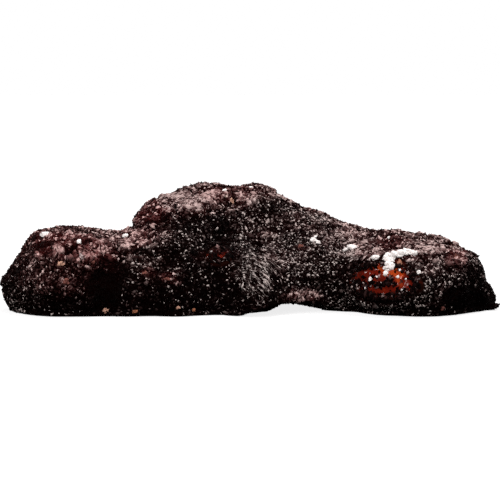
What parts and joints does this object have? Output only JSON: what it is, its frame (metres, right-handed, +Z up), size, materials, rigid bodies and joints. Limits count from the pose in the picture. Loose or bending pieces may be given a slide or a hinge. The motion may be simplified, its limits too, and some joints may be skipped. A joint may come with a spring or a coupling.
{
  "type": "chocolate lava cookie",
  "caption": "Low, lumpy dark chocolate cookie with a domed middle, a flat base and a molten filling that shows through its front.",
  "frame": {"origin": "middle of the flat base that the cookie rests on, at the centre of its footprint", "axes": "+Z up; +X along the cookie's longest side, towards the bulge with the wide patch of filling; -Y towards the front, where the filling shows"},
  "size_m": [0.0956, 0.0792, 0.0236],
  "materials": {
    "baked_dough": "moist, granular and nearly black on the steep faces, dry and dusty brown on top",
    "molten_filling": "wet, glossy, translucent reddish orange",
    "salt": "white flakes, slightly translucent",
    "crumbs": "dry, light brown baked crumbs"
  },
  "bodies": {
    "root": {"cookie": "baked_dough", "molten_centre": "molten_filling"}
  },
  "joints": []
}
